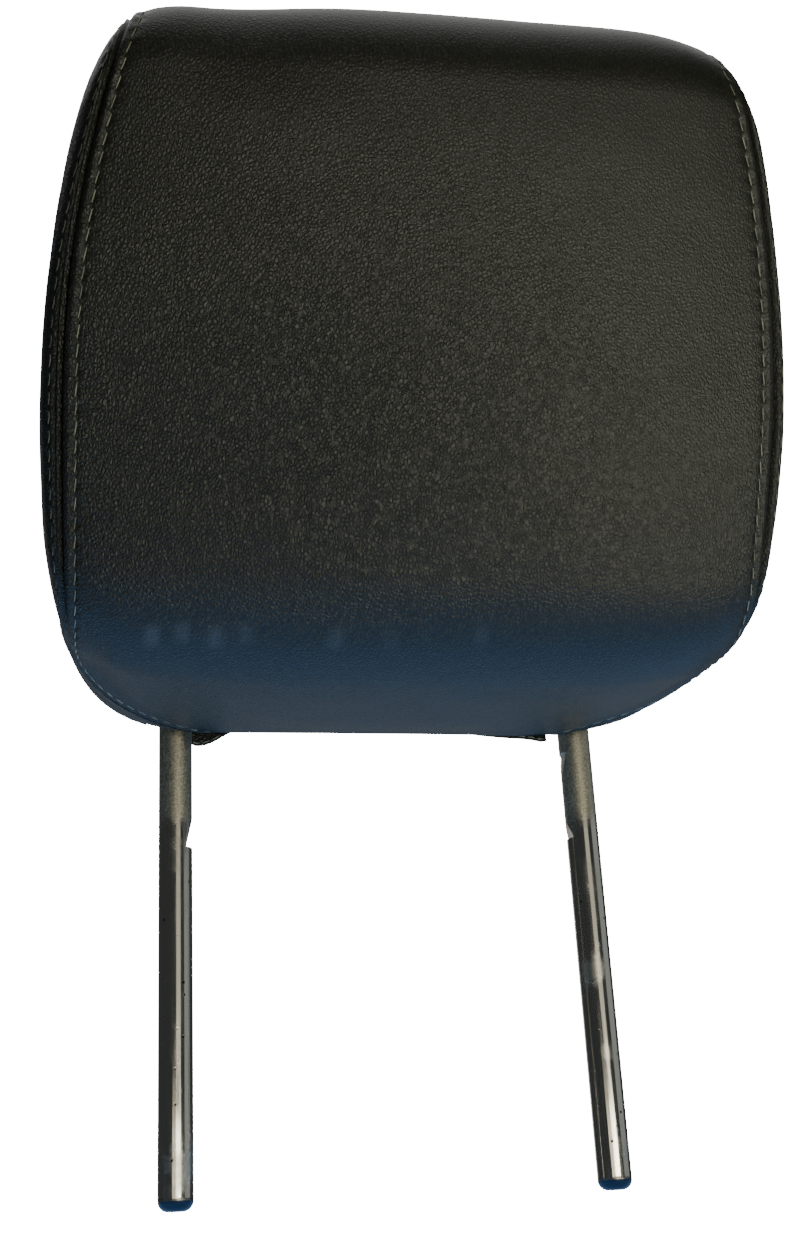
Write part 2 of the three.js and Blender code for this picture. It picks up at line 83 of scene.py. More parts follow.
# ---------- the cover's grid ----------
ROW_STEP = 1.05  # along the profile
FINE = [  # columns on each side of the seam's groove, by their distance from it
    0, 0.35, 0.7, 1.0, 1.35, 1.7, 2.1, 2.6, 3.1, 3.6, 4.0,
    4.4, 4.8, 5.2, 5.7, 6.3, 7.1, 8.1, 9.4, 11, 13, 15,
]
STITCH_OUT = 4.8  # distance from the seam's groove to each row of topstitching
CENTRE_COLUMNS = 44  # from the middle to the fine band beside the seam
SIDE_COLUMNS = 30
HEM_ROWS = [0, 0.25, 0.6, 1.1, 1.8, 2.6]  # closer rows beside each hem, by their distance from it
HEM_BAND = 3.5  # the even rows start this far from a hem
GAP_ROWS = 34  # rows across the gap between the hems
CORNER_SHARE = 0.86  # share of the half width where a section starts to round
OPENING_HALF = 90.0
FAR = 1e9


def smooth(low, high, value):
    t = np.clip((value - low) / (high - low), 0, 1)
    return t * t * (3 - 2 * t)


def rounded_outline(corners, step=0.25):
    """Dense (y, z) points round a closed polygon with rounded corners."""
    pieces = []
    for i, (y, z, radius) in enumerate(corners):
        corner = Vector((y, z))
        before = (Vector(corners[i - 1][:2]) - corner).normalized()
        after = (Vector(corners[(i + 1) % len(corners)][:2]) - corner).normalized()
        half = before.angle(after) / 2
        centre = corner + (before + after).normalized() * (radius / math.sin(half))
        start = corner + before * (radius / math.tan(half)) - centre
        end = corner + after * (radius / math.tan(half)) - centre
        a, b = math.atan2(start.y, start.x), math.atan2(end.y, end.x)
        sweep = (b - a + math.pi) % (2 * math.pi) - math.pi
        angles = a + sweep * np.linspace(0, 1, max(4, int(radius * abs(sweep) / step)))
        pieces.append(np.stack([centre.x + radius * np.cos(angles), centre.y + radius * np.sin(angles)], 1))
    points = np.concatenate(pieces)
    closed = np.vstack([points, points[:1]])
    length = np.concatenate([[0], np.cumsum(np.hypot(*np.diff(closed, axis=0).T))])
    at = np.arange(0, length[-1], step)
    return np.stack([np.interp(at, length, closed[:, 0]), np.interp(at, length, closed[:, 1])], 1)


def profile_rows():
    """The side profile's points from the front hem to the rear hem, then across the gap between them."""
    outline = rounded_outline(PROFILE)
    under = outline[:, 1] < 0
    front = np.argmin(np.where(under, np.abs(outline[:, 0] - FRONT_HEM_Y), FAR))
    outline = np.roll(outline, -front, axis=0)
    length = np.concatenate([[0], np.cumsum(np.hypot(*np.diff(outline, axis=0).T))])
    under = (outline[:, 1] < 0) & (length > length[-1] / 2)
    rear = length[np.argmin(np.where(under, np.abs(outline[:, 0] - REAR_HEM_Y), FAR))]
    close = np.array(HEM_ROWS)
    body = np.arange(HEM_BAND, rear - HEM_BAND, ROW_STEP)
    at = np.concatenate([close, body, rear - close[::-1]])
    gap = np.linspace(rear, length[-1], GAP_ROWS + 2)[1:-1]
    both = np.concatenate([at, gap])
    rows = np.stack([np.interp(both, length, outline[:, 0]), np.interp(both, length, outline[:, 1])], 1)
    return rows, both, len(at)


def half_width(z):
    return HALF_WIDTH - np.where(z > WIDEST_Z, NARROWING[1], NARROWING[0]) * (z - WIDEST_Z) ** 2


def squareness(z):
    return np.interp(z, [-35, WIDEST_Z, 225], [6, 12.8, 8])


def stitch_line_x(y, z):
    """Half width of the inner row of topstitching at a profile point. It narrows to the hems below."""
    upper = 110 - 0.00118 * np.maximum(z - 85, 0) ** 2
    front = 50 * np.clip((y + 100) / 76, 0, 1) ** 3.3
    rear = 50 * np.clip((45 - z) / 70, 0, 1) ** 1.6
    inward = np.where(y < FRONT_HEM_Y + 1, np.where(z < 40, front, 0), np.where(z < 45, rear, 0))
    return upper - inward


def half_section(y, z):
    """One row's points at the cover grid's columns, from the middle of the width to the side's middle."""
    n = float(squareness(z))
    share = np.linspace(0, CORNER_SHARE, 60)[:-1]
    angle = np.linspace(math.asin(CORNER_SHARE ** (n / 2)), math.pi / 2, 260)
    share = np.concatenate([share, np.sin(angle) ** (2 / n)])
    rise = np.clip(1 - share ** n, 0, 1) ** (1 / n)
    rise[-1] = 0
    zz = PROFILE_CENTRE[1] + (z - PROFILE_CENTRE[1]) * rise
    yy = PROFILE_CENTRE[0] + (y - PROFILE_CENTRE[0]) * rise
    xx = share * half_width(zz)
    step = np.sqrt(np.diff(xx) ** 2 + np.diff(yy) ** 2 + np.diff(zz) ** 2)
    length = np.concatenate([[0], np.cumsum(step)])
    outward = np.concatenate([[True], np.diff(xx) > 0])
    stitch = np.interp(stitch_line_x(y, z), xx[outward], length[outward])
    groove = stitch + STITCH_OUT
    fine = np.array(FINE)
    centre = np.linspace(0, groove - fine[-1], CENTRE_COLUMNS + 1)[:-1]
    spread = np.linspace(0, 1, SIDE_COLUMNS + 1)[1:] ** 0.9
    side = groove + fine[-1] + (length[-1] - groove - fine[-1]) * spread
    at = np.concatenate([centre, groove - fine[::-1], groove + fine[1:], side])
    points = np.stack([np.interp(at, length, xx), np.interp(at, length, yy), np.interp(at, length, zz)], 1)
    return points, at - groove


def cover_grid():
    """The whole grid: points[row, column, 3], each point's signed distance out of the groove,
    each row's distance along the profile, and the number of rows in the cover."""
    rows, along, cover_rows = profile_rows()
    halves = [half_section(y, z) for y, z in rows]
    right = np.array([h[0] for h in halves])
    out = np.array([h[1] for h in halves])
    left = right[:, :0:-1] * [-1, 1, 1]
    return np.concatenate([left, right], 1), np.concatenate([out[:, :0:-1], out], 1), along, cover_rows


# ---------- making meshes ----------
def place(points):
    """Cushion millimetres to the frame's metres."""
    c, s = math.cos(LEAN), math.sin(LEAN)
    x, y, z = points[..., 0], points[..., 1], points[..., 2]
    return np.stack([x, y * c - z * s, PIVOT_Z + y * s + z * c], -1) * MM


def grid_normals(points):
    """Outward unit normals of the cover grid, whose rows wrap round."""
    down = np.roll(points, -1, 0) - np.roll(points, 1, 0)
    across = np.gradient(points, axis=1)
    normal = np.cross(across, down)
    length = np.linalg.norm(normal, axis=2, keepdims=True)
    normal = normal / np.maximum(length, 1e-9)
    sides = np.sign(points[..., :1]) * np.array([1.0, 0, 0])
    normal = np.where(length < 1e-4, sides, normal)
    middle = normal.shape[1] // 2
    if normal[100, middle, 1] > 0:
        normal = -normal
        normal[:, [0, -1]] *= -1
    return normal


def new_object(name, points, faces, material, sharp=40):
    """A mesh object from points in metres, smooth but for edges sharper than an angle."""
    mesh = bpy.data.meshes.new(name)
    mesh.from_pydata(points.reshape(-1, 3).tolist(), [], faces)
    mesh.validate()
    mesh.shade_smooth()
    mesh.set_sharp_from_angle(angle=math.radians(sharp))
    mesh.materials.append(material)
    piece = bpy.data.objects.new(name, mesh)
    bpy.context.scene.collection.objects.link(piece)
    return piece


def thick_sheet(name, outer, inner, faces, material, attributes=()):
    """One closed sheet from two layers of points that share the faces of the outer one."""
    used = np.unique(np.array([i for f in faces for i in f]))
    number = {int(old): new for new, old in enumerate(used)}
    faces = [tuple(number[i] for i in f) for f in faces]
    points = np.concatenate([outer.reshape(-1, 3)[used], inner.reshape(-1, 3)[used]])
    count = len(used)
    edges = {}
    for f in faces:
        for a, b in zip(f, f[1:] + f[:1]):
            edges[(a, b)] = True
    rim = [(b, a, a + count, b + count) for a, b in edges if (b, a) not in edges]
    back = [tuple(i + count for i in f[::-1]) for f in faces]
    piece = new_object(name, points, faces + back + rim, material)
    for label, values in attributes:
        flat = values.reshape(-1)[used]
        attribute = piece.data.attributes.new(label, "FLOAT", "POINT")
        attribute.data.foreach_set("value", np.concatenate([flat, flat]).astype(np.float32))
    return piece


def grid_faces(columns, row_pairs, column_range):
    """Quads of a grid for pairs of neighbouring rows, facing out."""
    faces = []
    for i, k in row_pairs:
        for j in column_range:
            faces.append((i * columns + j, i * columns + j + 1, k * columns + j + 1, k * columns + j))
    return faces


# ---------- materials ----------
def principled(name, color, roughness, metallic=0.0, **values):
    """A new material and short ways to add its nodes: (material, add, link, shader)."""
    material = bpy.data.materials.new(name)
    material.use_nodes = True
    nodes, links = material.node_tree.nodes, material.node_tree.links
    shader = nodes["Principled BSDF"]
    shader.inputs["Base Color"].default_value = (*color, 1)
    shader.inputs["Roughness"].default_value = roughness
    shader.inputs["Metallic"].default_value = metallic
    for key, value in values.items():
        shader.inputs[key.replace("_", " ")].default_value = value

    def add(kind, inputs=None, **settings):
        node = nodes.new(kind)
        for key, value in settings.items():
            setattr(node, key, value)
        for key, value in (inputs or {}).items():
            if isinstance(value, bpy.types.NodeSocket):
                links.new(value, node.inputs[key])
            else:
                node.inputs[key].default_value = value
        return node

    return material, add, links.new, shader


def ramp(add, value, low, high, to_low=0.0, to_high=1.0):
    """A clamped linear map of a value socket."""
    inputs = {"Value": value, "From Min": low, "From Max": high, "To Min": to_low, "To Max": to_high}
    return add("ShaderNodeMapRange", inputs).outputs["Result"]


def mix_color(add, factor, first, second):
    node = add("ShaderNodeMix", {"Factor": factor}, data_type="RGBA")
    for socket, value in ((node.inputs[6], first), (node.inputs[7], second)):
        if isinstance(value, bpy.types.NodeSocket):
            node.id_data.links.new(value, socket)
        else:
            socket.default_value = (*value, 1)
    return node.outputs[2]


def math_node(add, operation, *values):
    """The output of a Math node on sockets or numbers."""
    return add("ShaderNodeMath", dict(enumerate(values)), operation=operation).outputs[0]


def leather_material():
    """Black upholstery leather: pebble grain with fine valleys, soft mottling and a satin shine.
    The grain fades towards the top and the right, where this leather is stretched smoother."""
    material, add, link, shader = principled(
        "leather", (0.02, 0.021, 0.016), 0.4, Specular_IOR_Level=0.45)
    place_at = add("ShaderNodeTexCoord").outputs["Object"]
    wander = add("ShaderNodeTexNoise", {"Vector": place_at, "Scale": 45, "Detail": 2})
    fine_wander = add("ShaderNodeTexNoise", {"Vector": place_at, "Scale": 420, "Detail": 1})

    def shifted(source, vector, amount):
        """A position moved by a colour noise, by up to half an amount each way."""
        colour = {0: source.outputs["Color"], 1: (0.5, 0.5, 0.5)}
        centred = add("ShaderNodeVectorMath", colour, operation="SUBTRACT").outputs[0]
        small = add("ShaderNodeVectorMath", {0: centred, "Scale": amount}, operation="SCALE").outputs[0]
        return add("ShaderNodeVectorMath", {0: vector, 1: small}, operation="ADD").outputs[0]

    moved = shifted(fine_wander, shifted(wander, place_at, 0.003), 0.0006)
    drawn = {"Vector": moved, "Rotation": (0.0, math.radians(24), 0.0), "Scale": (1.0, 0.85, 0.75)}
    turned = add("ShaderNodeMapping", drawn).outputs[0]
    cells = {"Vector": turned, "Scale": 900}
    pebbles = add("ShaderNodeTexVoronoi", cells, feature="DISTANCE_TO_EDGE")
    pebble_height = ramp(add, pebbles.outputs["Distance"], 0.0, 0.34)
    waves = {"Vector": turned, "Scale": 720, "Detail": 2, "Roughness": 0.5}
    wrinkles = add("ShaderNodeTexNoise", waves)
    ridges = ramp(add, wrinkles.outputs["Fac"], 0.36, 0.62)
    pores = add("ShaderNodeTexNoise", {"Vector": place_at, "Scale": 3200, "Detail": 2})
    patches = add("ShaderNodeTexNoise", {"Vector": place_at, "Scale": 16, "Detail": 2})
    apart = add("ShaderNodeSeparateXYZ", {"Vector": place_at}).outputs
    by_side = ramp(add, apart["X"], -0.05, 0.08, 1.0, 0.55)
    by_height = ramp(add, apart["Z"], 0.24, 0.345, 1.0, 0.4)
    by_patch = ramp(add, patches.outputs["Fac"], 0.35, 0.65, 0.96, 1.0)
    amount = math_node(add, "MULTIPLY", math_node(add, "MULTIPLY", by_height, by_patch), by_side)
    pebbled = math_node(add, "MULTIPLY", pebble_height, 0.85)
    grain = math_node(add, "MULTIPLY_ADD", ridges, 0.18, pebbled)
    scaled = math_node(add, "MULTIPLY", grain, amount)
    relief = math_node(add, "MULTIPLY_ADD", pores.outputs["Fac"], 0.1, scaled)
    bump = add("ShaderNodeBump", {"Height": relief, "Strength": 0.85, "Distance": 0.0003})
    link(bump.outputs["Normal"], shader.inputs["Normal"])
    mottle = ramp(add, patches.outputs["Fac"], 0.3, 0.7)
    mottled = mix_color(add, mottle, (0.0152, 0.0156, 0.0092), (0.0158, 0.0162, 0.0096))
    # The pebbles' valleys are painted darker than their tops: painted shade in the grain's hollows.
    colour = mix_color(add, ramp(add, pebble_height, 0.0, 0.7), (0.0055, 0.0058, 0.004), mottled)
    worn = add("ShaderNodeAttribute", attribute_name="scuff").outputs["Fac"]
    colour = mix_color(add, worn, colour, (0.045, 0.05, 0.055))
    link(colour, shader.inputs["Base Color"])
    base_rough = ramp(add, patches.outputs["Fac"], 0.3, 0.7, 0.38, 0.39)
    link(math_node(add, "MULTIPLY_ADD", pores.outputs["Fac"], 0.08, base_rough), shader.inputs["Roughness"])
    return material


def thread_material():
    """Light olive polyester thread, twisted, with a darker tone that varies at random along it."""
    material, add, link, shader = principled("thread", (0.27, 0.27, 0.21), 0.55, Sheen_Weight=0.2)
    place_at = add("ShaderNodeTexCoord").outputs["Object"]
    twist = add("ShaderNodeTexNoise", {"Vector": place_at, "Scale": 2600, "Detail": 2})
    tone = add("ShaderNodeTexNoise", {"Vector": place_at, "Scale": 120})
    dirty = ramp(add, tone.outputs["Fac"], 0.35, 0.65)
    link(mix_color(add, dirty, (0.12, 0.12, 0.08), (0.27, 0.27, 0.19)), shader.inputs["Base Color"])
    bump = add("ShaderNodeBump", {"Height": twist.outputs["Fac"], "Strength": 0.6, "Distance": 0.0001})
    link(bump.outputs["Normal"], shader.inputs["Normal"])
    return material


# metres up the posts, over which each finish changes into the next; the lowest band ends the painted dark
# reflection on the rounded ends
PAINTED_DARK_END_Z = (0.0032, 0.0044)
HAZE_Z = (0.088, 0.134)
WORN_Z = (0.1345, 0.1395)


def rod_material():
    """Chromed steel with scuffs and pits. Haze grows up the posts into a dull worn length near the
    cushion, and the rounded ends are painted a dark blue tone, a painted reflection of the dim room and the
    blue light below."""
    material, add, link, shader = principled("rod_chrome", (0.6, 0.6, 0.58), 0.1, 1.0)
    place_at = add("ShaderNodeTexCoord").outputs["Object"]
    height_up = add("ShaderNodeSeparateXYZ", {"Vector": place_at}).outputs["Z"]
    ragged = add("ShaderNodeTexNoise", {"Vector": place_at, "Scale": 260, "Detail": 5, "Roughness": 0.7})
    edge = math_node(add, "MULTIPLY_ADD", ragged.outputs["Fac"], 0.012, height_up)
    worn = ramp(add, edge, *WORN_Z)
    long = add("ShaderNodeMapping", {"Vector": place_at, "Scale": (1.0, 1.0, 0.06)})
    streaks = add("ShaderNodeTexNoise", {"Vector": long.outputs[0], "Scale": 900, "Detail": 3})
    speckle = add("ShaderNodeTexNoise", {"Vector": place_at, "Scale": 1500, "Detail": 3, "Roughness": 0.75})
    rubbed = add("ShaderNodeTexNoise", {"Vector": place_at, "Scale": 38, "Detail": 4, "Roughness": 0.65})
    rub = ramp(add, rubbed.outputs["Fac"], 0.56, 0.66)
    fade = ramp(add, height_up, *HAZE_Z, 0.0, 0.8)
    patches = ramp(add, rubbed.outputs["Fac"], 0.42, 0.6)
    haze = math_node(add, "MULTIPLY", fade, patches)
    dull = math_node(add, "MAXIMUM", worn, haze)
    pits = add("ShaderNodeTexVoronoi", {"Vector": place_at, "Scale": 150, "Randomness": 1.0})
    pit = ramp(add, pits.outputs["Distance"], 0.05, 0.09, 1.0, 0.0)
    speckled = ramp(add, speckle.outputs["Fac"], 0.4, 0.6)
    dull_tone = mix_color(add, speckled, (0.42, 0.38, 0.27), (0.72, 0.67, 0.52))
    plated = mix_color(add, pit, (0.84, 0.79, 0.67), (0.16, 0.1, 0.06))
    # painted reflection: the rounded ends get a dark blue tone that stands for the dim room and the blue
    # light below that they mirror
    plated_with_painted_end = mix_color(add, ramp(add, height_up, *PAINTED_DARK_END_Z), (0.028, 0.04, 0.055), plated)
    link(mix_color(add, dull, plated_with_painted_end, dull_tone), shader.inputs["Base Color"])
    bright_rough = ramp(add, streaks.outputs["Fac"], 0.35, 0.65, 0.09, 0.16)
    rubbed_rough = math_node(add, "MULTIPLY_ADD", rub, 0.16, bright_rough)
    dull_rough = ramp(add, speckle.outputs["Fac"], 0.35, 0.65, 0.36, 0.56)
    rough = add("ShaderNodeMix", {"Factor": dull, 2: rubbed_rough, 3: dull_rough}, data_type="FLOAT")
    end_rough = ramp(add, height_up, *PAINTED_DARK_END_Z, 0.3, 0.0)
    link(math_node(add, "MAXIMUM", rough.outputs[0], end_rough), shader.inputs["Roughness"])
    grainy = math_node(add, "MULTIPLY", speckle.outputs["Fac"], dull)
    depth = math_node(add, "MULTIPLY_ADD", pit, -0.6, grainy)
    bump = add("ShaderNodeBump", {"Height": depth, "Strength": 0.5, "Distance": 0.0001})
    link(bump.outputs["Normal"], shader.inputs["Normal"])
    return material


def plain_material(name, color, roughness, metallic, scale, depth):
    """A moulded, plated or foamed finish: mottled tone and roughness over a fine bump."""
    material, add, link, shader = principled(name, color, roughness, metallic)
    place_at = add("ShaderNodeTexCoord").outputs["Object"]
    fine = add("ShaderNodeTexNoise", {"Vector": place_at, "Scale": scale, "Detail": 4})
    broad = add("ShaderNodeTexNoise", {"Vector": place_at, "Scale": scale / 25})
    darker = tuple(0.72 * c for c in color)
    mottle = ramp(add, broad.outputs["Fac"], 0.3, 0.7)
    link(mix_color(add, mottle, darker, color), shader.inputs["Base Color"])
    rough = ramp(add, fine.outputs["Fac"], 0.3, 0.7, roughness * 0.8, min(1, roughness * 1.2))
    link(rough, shader.inputs["Roughness"])
    bump = add("ShaderNodeBump", {"Height": fine.outputs["Fac"], "Strength": 0.5, "Distance": depth})
    link(bump.outputs["Normal"], shader.inputs["Normal"])
    return material


leather = leather_material()
thread = thread_material()
rod_chrome = rod_material()
slot_materials = {
    "chrome_rod": rod_chrome,
    "zinc_steel": plain_material("zinc_steel", (0.5, 0.51, 0.53), 0.38, 1.0, 900, 0.00005),
    "black_screw": plain_material("black_screw", (0.03, 0.03, 0.033), 0.4, 0.8, 1500, 0.00003),
    "bush_resin": plain_material("bush_resin", (0.68, 0.66, 0.58), 0.45, 0.0, 1200, 0.00003),
    "core_plastic": plain_material("core_plastic", (0.022, 0.024, 0.026), 0.6, 0.0, 1400, 0.00008),
    "foam": plain_material("foam", (0.27, 0.26, 0.22), 0.95, 0.0, 700, 0.0004),
    "leather": leather,
    "strip_plastic": plain_material("strip_plastic", (0.03, 0.03, 0.034), 0.45, 0.0, 1400, 0.00005),
}
for row in frame["record"]["subparts"]:
    node = frame["nodes"][row["node"]]
    node.data.materials.clear()
    node.data.materials.append(slot_materials[row["material_slot"]])

# ---------- the cover's surface ----------
STITCH_PITCH = 5.8
HEM_ROLL = 1.2  # radius of the leather's turned edge at the hems
SWELL_START = 0.5  # the cloth starts this much smaller
SWELL_CAP = 1.6
SWELL_FRAMES = 20
points, out, along, cover_rows = cover_grid()
normals = grid_normals(points)
row_count, column_count = out.shape
middle = column_count // 2


def column_at(distance, side):
    """The grid column at a signed distance out of the groove, on the left (-1) or right (1)."""
    columns = range(middle, column_count) if side > 0 else range(middle + 1)
    return min(columns, key=lambda j: abs(out[10, j] - distance))


groove_columns = {side: column_at(0, side) for side in (-1, 1)}
opening_columns = {}
for side in (-1, 1):
    hem = np.abs(np.abs(points[0, :, 0]) - OPENING_HALF) + np.where(points[0, :, 0] * side > 0, 0, 1000)
    opening_columns[side] = int(np.argmin(hem))


def seam_length(column):
    """Distance along a column of the grid from the front hem."""
    step = np.linalg.norm(np.diff(points[:, column], axis=0), axis=1)
    return np.concatenate([[0], np.cumsum(step)])


def seam_relief():
    """Height of the rolled, double-stitched seam: groove, rolls, stitch channels and puckers."""
    away = np.abs(out)
    relief = -1.5 * np.exp(-((out / 0.6) ** 2))
    relief += 0.5 * np.exp(-(((out - 1.0) / 0.5) ** 2)) - 0.5 * np.exp(-(((out - 2.2) / 0.6) ** 2))
    relief += 0.5 * np.exp(-(((out + 2.7) / 1.2) ** 2))
    relief += 0.25 * np.exp(-(((out - 3.4) / 0.9) ** 2))
    relief += 0.12 * np.exp(-(((away - 8.6) / 2.4) ** 2))
    for side in (-1, 1):
        for row_at in (-STITCH_OUT, STITCH_OUT):
            near = (np.sign(points[0, :, 0]) == side)[None, :] & (out * row_at > 0)
            wave = np.cos(2 * math.pi * seam_length(column_at(row_at, side)) / STITCH_PITCH)[:, None]
            off = away - STITCH_OUT
            channel = -(0.28 - 0.14 * wave) * np.exp(-((off / 0.75) ** 2))
            pucker = 0.13 * wave * np.exp(-((off / 2.6) ** 2))
            relief += np.where(near, channel + pucker, 0)
    return relief


def soft_waves():
    """Uneven foam under the leather."""
    relief = np.zeros(out.shape)
    for i in range(row_count):
        for j in range(column_count):
            p = Vector(points[i, j])
            relief[i, j] = 0.55 * noise.noise(p / 52) + 0.16 * noise.noise(p / 17 + Vector((9, 3, 5)))
    return relief


def settled_foam(x, z):
    """How far the foam has sunk along the top's left half."""
    spread = np.where(x < -66, 18.0, 28.0)
    return -2.7 * np.exp(-(((x + 66) / spread) ** 2)) * smooth(172, 205, z)


def proud_corner(relief):
    """Round the front's lower corners the seam stands up as a lip with an open gap inside it."""
    place_on = np.where(np.arange(row_count) < cover_rows, along, 1e3)
    corner = np.exp(-(((place_on - 52) / 24) ** 2))[:, None]
    lip = 1.0 * np.exp(-(((out - 3.0) / 1.5) ** 2)) - 0.9 * np.exp(-(((out - 0.4) / 0.8) ** 2))
    shelf = 0.9 * np.exp(-(((out + STITCH_OUT) / 2.2) ** 2)) - 0.9 * np.exp(-(((out + 12.5) / 4.5) ** 2))
    return relief * (1 - 0.6 * corner) + corner * (lip + shelf)


def cloth_swell():
    """Leather blown up over the foam by cloth pinned at the seams and hems: height along the normals."""
    rows = np.unique(np.r_[0:cover_rows:9, cover_rows - 1, cover_rows + 8, cover_rows + 20])
    seams = [groove_columns[-1], groove_columns[1]]
    columns = np.unique(np.r_[3:column_count - 3:6, seams, opening_columns[-1], opening_columns[1]])
    free = np.ones((len(rows), len(columns)))
    free[rows >= cover_rows - 1] = 0
    free[rows == 0] = 0
    free[:, np.isin(columns, seams)] = 0
    grid = np.ix_(rows, columns)
    start = points[grid] - normals[grid] * (SWELL_START * free)[..., None]
    wide = len(columns)
    faces = []
    for i in range(len(rows)):
        k = (i + 1) % len(rows)
        faces += [(i * wide + j, i * wide + j + 1, k * wide + j + 1, k * wide + j) for j in range(wide - 1)]
    firsts = [i * wide for i in range(len(rows))]
    caps = [tuple(firsts), tuple(first + wide - 1 for first in reversed(firsts))]
    mesh = bpy.data.meshes.new("swell")
    mesh.from_pydata((start.reshape(-1, 3) * MM).tolist(), [], faces + caps)
    skin = bpy.data.objects.new("swell", mesh)
    bpy.context.scene.collection.objects.link(skin)
    pinned = skin.vertex_groups.new(name="pinned")
    pinned.add(np.flatnonzero(free.ravel() == 0).tolist(), 1.0, "REPLACE")
    cloth = skin.modifiers.new("cloth", "CLOTH")
    cloth.settings.quality = 8
    cloth.settings.use_pressure = True
    cloth.settings.uniform_pressure_force = 4.0
    cloth.settings.vertex_group_mass = "pinned"
    cloth.settings.effector_weights.gravity = 0
    cloth.settings.tension_stiffness = 40
    cloth.settings.compression_stiffness = 40
    cloth.settings.bending_stiffness = 2
    cloth.point_cache.frame_start, cloth.point_cache.frame_end = 1, SWELL_FRAMES
    for k in range(1, SWELL_FRAMES + 1):
        bpy.context.scene.frame_set(k)
    swollen = skin.evaluated_get(bpy.context.evaluated_depsgraph_get()).to_mesh()
    ended = np.array([v.co for v in swollen.vertices]).reshape(len(rows), wide, 3) / MM
    bpy.context.scene.frame_set(1)
    bpy.data.objects.remove(skin)
    rise = np.clip(((ended - start) * normals[grid]).sum(-1), 0, SWELL_CAP) - SWELL_START * free
    tall = np.stack([np.interp(np.arange(row_count), rows, rise[:, j]) for j in range(wide)], 1)
    full = np.stack([np.interp(np.arange(column_count), columns, tall[i]) for i in range(row_count)])
    for _ in range(3):
        full = np.mean([np.roll(full, k, 0) for k in range(-6, 7)], axis=0)
        padded = np.pad(full, ((0, 0), (4, 4)), "edge")
        full = np.mean([padded[:, k:k + column_count] for k in range(9)], axis=0)
    hem = smooth(0, 14, np.minimum(along, along[cover_rows - 1] - along))[:, None]
    return full * (1 - np.exp(-((out / 7) ** 2))) * hem


def hem_sag():
    """The front hem hangs a little lower by the right post, where the lip pulls it."""
    x = points[..., 0]
    place_on = np.where(np.arange(row_count) < cover_rows, along, 1e3)[:, None]
    return 0.9 * np.exp(-(((x - 56) / 17) ** 2) - (place_on / 9) ** 2)


settled = settled_foam(points[..., 0], points[..., 2])
lie = cloth_swell() + soft_waves() + settled + hem_sag()
relief = proud_corner(seam_relief()) + lie
from_hem = np.minimum(along[:cover_rows], along[cover_rows - 1] - along[:cover_rows])
curl = np.clip(1 - from_hem / HEM_ROLL, 0, 1)
turned_in = HEM_ROLL * (1 - np.sqrt(1 - 0.96 * curl ** 2))
relief[:cover_rows] -= turned_in[:, None] * (np.abs(points[0, :, 0]) < OPENING_HALF)
surface = points + normals * relief[..., None]
lining = points + normals * (lie - COVER)[..., None]

# ---------- the leather pieces ----------
cover_pairs = [(i, i + 1) for i in range(cover_rows - 1)]
gap_pairs = [(i, (i + 1) % row_count) for i in range(cover_rows - 1, row_count)]
outer_world, inner_world = place(surface), place(lining)
SMUDGES = [  # x and strength
    (-86, 0.8), (-76.5, 0.6), (-66.5, 0.8), (-57, 0.5), (-28, 0.55), (19, 0.35), (-10, 0.2),
]


def smudges():
    """Faint dried marks in a row under the front's lower bend."""
    marks = np.zeros(out.shape)
    for k, (at, strength) in enumerate(SMUDGES):
        across = (points[..., 0] - at) / 2.3
        upward = (points[..., 2] - 12.5 - 1.5 * (k % 2)) / 3.8
        marks += strength * np.exp(-(across ** 4) - upward ** 4) * (points[..., 1] < -80)
    return marks


scuff = smudges()


def cover_panel(name, faces, node):
    piece = thick_sheet(name, outer_world, inner_world, faces, leather, [("scuff", scuff)])
    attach(piece, "cushion")
    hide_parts(node)


centre_faces = grid_faces(column_count, cover_pairs, range(groove_columns[-1], groove_columns[1]))
cover_panel("leather_centre_panel", centre_faces, "cover_centre_panel")
for label, side in (("left", -1), ("right", 1)):
    columns = range(groove_columns[1], column_count - 1) if side > 0 else range(groove_columns[-1])
    wide = range(opening_columns[1], column_count - 1) if side > 0 else range(opening_columns[-1])
    faces = grid_faces(column_count, cover_pairs, columns)
    faces += grid_faces(column_count, gap_pairs, wide)
    cover_panel(f"leather_side_{label}", faces, f"cover_side_{label}")

# ---------- closure flap ----------
FLAP_INSET = 2.2
FLAP_THICK = 1.2
SLOT_HALF = 8.0
flap_rows = [(cover_rows - 8 + k) % row_count for k in range(row_count - cover_rows + 14)]
flap = points[flap_rows] - normals[flap_rows] * FLAP_INSET
flap_faces = []
for i in range(len(flap_rows) - 1):
    for j in range(opening_columns[-1] - 2, opening_columns[1] + 2):
        x, y = flap[i, j, 0], flap[i, j, 1]
        if abs(abs(x) - POST_X) > SLOT_HALF or y > 4:
            flap_faces.append((i * column_count + j, i * column_count + j + 1,
                               (i + 1) * column_count + j + 1, (i + 1) * column_count + j))
flap_inside = flap - normals[flap_rows] * FLAP_THICK
flap_piece = thick_sheet("leather_closure_flap", place(flap), place(flap_inside), flap_faces, leather)
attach(flap_piece, "cushion")
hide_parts("closure_flap")

# ---------- topstitching ----------
THREAD_R = 0.22
THREAD_STEPS = 8  # points along each stitch
STITCH_LENGTH = 4.9


